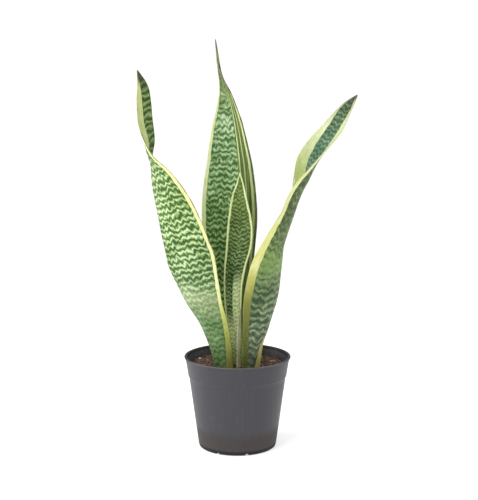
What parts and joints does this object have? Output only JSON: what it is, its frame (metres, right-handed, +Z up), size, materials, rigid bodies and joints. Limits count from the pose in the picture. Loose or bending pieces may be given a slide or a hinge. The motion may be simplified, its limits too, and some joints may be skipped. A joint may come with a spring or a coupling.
{
  "type": "potted snake plant",
  "caption": "Snake plant with upright, twisting, yellow-edged banded leaves growing from potting mix in a round tapered plastic nursery pot.",
  "frame": {"origin": "middle of the pot's base, on the surface the pot stands on", "axes": "+Z up along the pot's axis; -Y is the side the clump of leaves stands nearest; the two twisting outer leaves lean to -X and +X"},
  "size_m": [0.2545, 0.1341, 0.4931],
  "materials": {
    "pot_plastic": "satin dark grey, slightly dusty towards the foot",
    "potting_mix": "matt, crumbly, reddish brown",
    "rhizome": "matt, fleshy, pale orange brown",
    "leaf": "waxy, green with pale zigzag cross bands and yellow margins",
    "leaf_sheath": "waxy, pale yellow green",
    "bark": "matt, fibrous",
    "perlite": "matt, porous white"
  },
  "bodies": {
    "root": {"pot": "pot_plastic", "potting_mix": "potting_mix", "rhizome": "rhizome", "leaf_left": "leaf", "leaf_right": "leaf", "leaf_tall": "leaf", "leaf_small": "leaf", "leaf_sheath": "leaf_sheath", "bark_chip_1": "bark", "bark_chip_2": "bark", "bark_chip_3": "bark", "bark_chip_4": "bark", "bark_chip_5": "bark", "bark_chip_6": "bark", "bark_chip_7": "bark", "bark_chip_8": "bark", "bark_chip_9": "bark", "bark_chip_10": "bark", "bark_chip_11": "bark", "bark_chip_12": "bark", "perlite_1": "perlite", "perlite_2": "perlite", "perlite_3": "perlite"}
  },
  "joints": []
}
